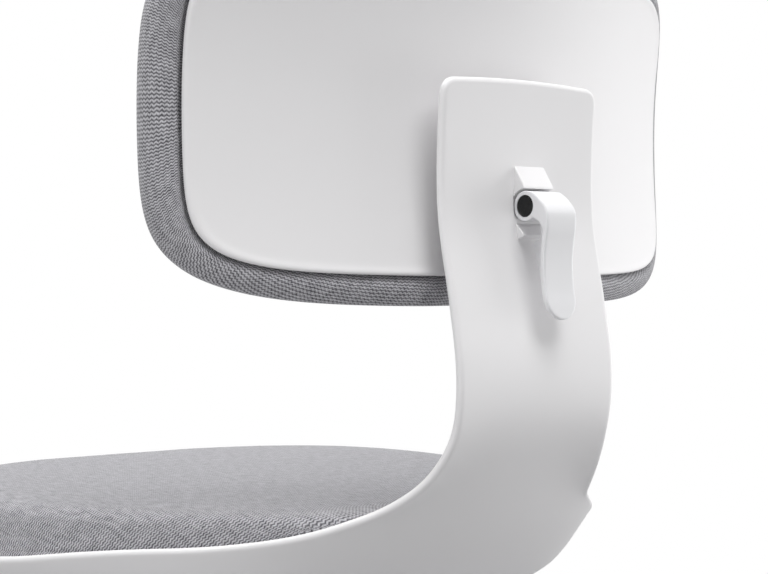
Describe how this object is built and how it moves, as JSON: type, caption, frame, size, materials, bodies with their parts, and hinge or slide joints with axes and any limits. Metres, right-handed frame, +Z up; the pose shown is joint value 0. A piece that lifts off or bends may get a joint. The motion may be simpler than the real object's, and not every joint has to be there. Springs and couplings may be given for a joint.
{
  "type": "office chair",
  "caption": "Small swivel office chair: moulded seat pan and back post in one sheet, upholstered seat and back, back height clamp lever, gas column, star base on twin-wheel casters.",
  "frame": {"origin": "on the floor, under the axis of the gas column", "axes": "+Z up, the sitter faces -Y, +X is the sitter's left"},
  "size_m": [0.5922, 0.5805, 0.8026],
  "materials": {
    "white_plastic": "moulded white plastic, satin, pressed from smooth steel tooling",
    "rail_plastic": "white acetal, plain moulded",
    "star_plastic": "white glass-filled nylon, fine spark-eroded texture",
    "seat_fabric": "grey melange knit with vertical ribs",
    "plywood": "raw birch plywood",
    "board_plastic": "black polypropylene board",
    "black_plastic": "black moulded nylon",
    "caster_plastic": "black nylon, fine texture",
    "caster_tread": "black nylon wheel with a dark soft tread",
    "die_cast": "dark grey powder coat on die-cast aluminium",
    "black_enamel": "black stoved enamel",
    "polished_steel": "ground bright steel",
    "zinc_steel": "zinc-plated steel"
  },
  "bodies": {
    "base": {"base_star": "star_plastic", "column_tube": "black_enamel", "guide_bush": "black_plastic", "thrust_bearing": "zinc_steel", "caster1_stem": "zinc_steel", "caster2_stem": "zinc_steel", "caster3_stem": "zinc_steel", "caster4_stem": "zinc_steel", "caster5_stem": "zinc_steel"},
    "rod": {"piston_rod": "polished_steel", "rod_clip": "zinc_steel"},
    "seat": {"gas_cylinder": "black_enamel", "rod_seal": "black_plastic", "mechanism_body": "die_cast", "mechanism_bolts": "zinc_steel", "lever_pivot": "zinc_steel", "frame_shell": "white_plastic", "seat_board": "plywood", "seat_cushion": "seat_fabric", "draw_bolt": "polished_steel", "clamp_nut": "zinc_steel", "clamp_pin": "polished_steel"},
    "back": {"back_rail": "rail_plastic", "rail_screws": "zinc_steel", "back_shell": "white_plastic", "back_board": "board_plastic", "board_screws": "zinc_steel", "back_pad": "seat_fabric"},
    "clamp_hook": {"clamp_lever": "white_plastic", "clamp_caps": "black_plastic"},
    "lever": {"height_lever": "zinc_steel", "height_grip": "black_plastic"},
    "pin": {"release_pin": "polished_steel"},
    "caster1": {"caster1_hood": "caster_plastic", "caster1_axle": "polished_steel"},
    "caster1_left": {"caster1_wheel_l": "caster_tread"},
    "caster1_right": {"caster1_wheel_r": "caster_tread"},
    "caster2": {"caster2_hood": "caster_plastic", "caster2_axle": "polished_steel"},
    "caster2_left": {"caster2_wheel_l": "caster_tread"},
    "caster2_right": {"caster2_wheel_r": "caster_tread"},
    "caster3": {"caster3_hood": "caster_plastic", "caster3_axle": "polished_steel"},
    "caster3_left": {"caster3_wheel_l": "caster_tread"},
    "caster3_right": {"caster3_wheel_r": "caster_tread"},
    "caster4": {"caster4_hood": "caster_plastic", "caster4_axle": "polished_steel"},
    "caster4_left": {"caster4_wheel_l": "caster_tread"},
    "caster4_right": {"caster4_wheel_r": "caster_tread"},
    "caster5": {"caster5_hood": "caster_plastic", "caster5_axle": "polished_steel"},
    "caster5_left": {"caster5_wheel_l": "caster_tread"},
    "caster5_right": {"caster5_wheel_r": "caster_tread"}
  },
  "joints": [
    {"name": "seat_swivel", "type": "hinge", "parent": "base", "child": "rod", "pos_m": [0, 0, 0.064], "axis": [0, 0, 1], "continuous": true},
    {"name": "seat_height", "type": "slide", "parent": "rod", "child": "seat", "axis": [0, 0, 1], "range_m": [-0.055, 0.055]},
    {"name": "back_height", "type": "slide", "parent": "seat", "child": "back", "axis": [0, 0, 1], "range_m": [-0.05, 0.01]},
    {"name": "clamp_swing", "type": "hinge", "parent": "seat", "child": "clamp_hook", "pos_m": [-0.0072, 0.24514, 0.6417], "axis": [1, 0, 0], "range_deg": [0, 45]},
    {"name": "lever_lift", "type": "hinge", "parent": "seat", "child": "lever", "pos_m": [-0.036, 0, 0.38535], "axis": [0, 1, 0], "range_deg": [0, 4], "stiffness_Nm_per_rad": 12, "springref_deg": -2.86},
    {"name": "release_press", "type": "slide", "parent": "seat", "child": "pin", "axis": [0, 0, -1], "range_m": [0, 0.0032]},
    {"name": "caster1_swivel", "type": "hinge", "parent": "base", "child": "caster1", "pos_m": [0, 0.285, 0.05], "axis": [0, 0, 1], "continuous": true},
    {"name": "caster1_spin_left", "type": "hinge", "parent": "caster1", "child": "caster1_left", "pos_m": [0, 0.305, 0.025], "axis": [1, 0, 0], "continuous": true},
    {"name": "caster1_spin_right", "type": "hinge", "parent": "caster1", "child": "caster1_right", "pos_m": [0, 0.305, 0.025], "axis": [1, 0, 0], "continuous": true},
    {"name": "caster2_swivel", "type": "hinge", "parent": "base", "child": "caster2", "pos_m": [-0.27105, 0.08807, 0.05], "axis": [0, 0, 1], "continuous": true},
    {"name": "caster2_spin_left", "type": "hinge", "parent": "caster2", "child": "caster2_left", "pos_m": [-0.27105, 0.10807, 0.025], "axis": [1, 0, 0], "continuous": true},
    {"name": "caster2_spin_right", "type": "hinge", "parent": "caster2", "child": "caster2_right", "pos_m": [-0.27105, 0.10807, 0.025], "axis": [1, 0, 0], "continuous": true},
    {"name": "caster3_swivel", "type": "hinge", "parent": "base", "child": "caster3", "pos_m": [-0.16752, -0.23057, 0.05], "axis": [0, 0, 1], "continuous": true},
    {"name": "caster3_spin_left", "type": "hinge", "parent": "caster3", "child": "caster3_left", "pos_m": [-0.16752, -0.21057, 0.025], "axis": [1, 0, 0], "continuous": true},
    {"name": "caster3_spin_right", "type": "hinge", "parent": "caster3", "child": "caster3_right", "pos_m": [-0.16752, -0.21057, 0.025], "axis": [1, 0, 0], "continuous": true},
    {"name": "caster4_swivel", "type": "hinge", "parent": "base", "child": "caster4", "pos_m": [0.16752, -0.23057, 0.05], "axis": [0, 0, 1], "continuous": true},
    {"name": "caster4_spin_left", "type": "hinge", "parent": "caster4", "child": "caster4_left", "pos_m": [0.16752, -0.21057, 0.025], "axis": [1, 0, 0], "continuous": true},
    {"name": "caster4_spin_right", "type": "hinge", "parent": "caster4", "child": "caster4_right", "pos_m": [0.16752, -0.21057, 0.025], "axis": [1, 0, 0], "continuous": true},
    {"name": "caster5_swivel", "type": "hinge", "parent": "base", "child": "caster5", "pos_m": [0.27105, 0.08807, 0.05], "axis": [0, 0, 1], "continuous": true},
    {"name": "caster5_spin_left", "type": "hinge", "parent": "caster5", "child": "caster5_left", "pos_m": [0.27105, 0.10807, 0.025], "axis": [1, 0, 0], "continuous": true},
    {"name": "caster5_spin_right", "type": "hinge", "parent": "caster5", "child": "caster5_right", "pos_m": [0.27105, 0.10807, 0.025], "axis": [1, 0, 0], "continuous": true}
  ],
  "couplings": [
    {"joint": "release_press", "follows": "lever_lift", "m_per_rad": 0.045}
  ]
}
